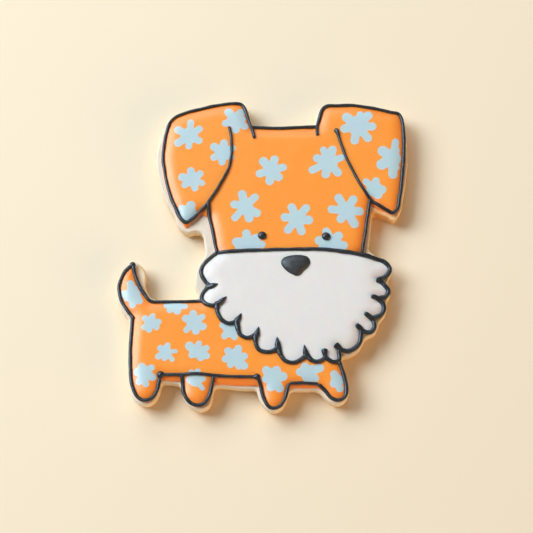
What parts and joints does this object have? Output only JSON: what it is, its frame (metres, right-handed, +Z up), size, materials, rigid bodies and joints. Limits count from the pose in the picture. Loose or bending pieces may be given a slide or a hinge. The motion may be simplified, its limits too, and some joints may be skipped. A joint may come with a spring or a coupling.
{
  "type": "decorated sugar cookie",
  "caption": "Flat baked sugar cookie shaped like a terrier, with flooded icing, a scalloped beard, piped outlines, dot eyes and a nose, lying face up.",
  "frame": {"origin": "on the table under the middle of the cookie's box", "axes": "+X towards the side that the dog faces, +Y from the legs to the ears, +Z up out of the iced face"},
  "size_m": [0.0941, 0.105, 0.0097],
  "materials": {
    "baked_dough": "matt baked crumb, stands in for sugar cookie dough",
    "icing_orange": "satin dried royal icing with flush pale blue flowers",
    "icing_white": "satin dried royal icing",
    "icing_charcoal": "satin dried piped royal icing"
  },
  "bodies": {
    "root": {"dough": "baked_dough", "icing_head": "icing_orange", "icing_beard": "icing_white", "icing_body": "icing_orange", "lines_head": "icing_charcoal", "lines_beard": "icing_charcoal", "lines_body": "icing_charcoal", "eye_left": "icing_charcoal", "eye_right": "icing_charcoal", "nose": "icing_charcoal"}
  },
  "joints": []
}
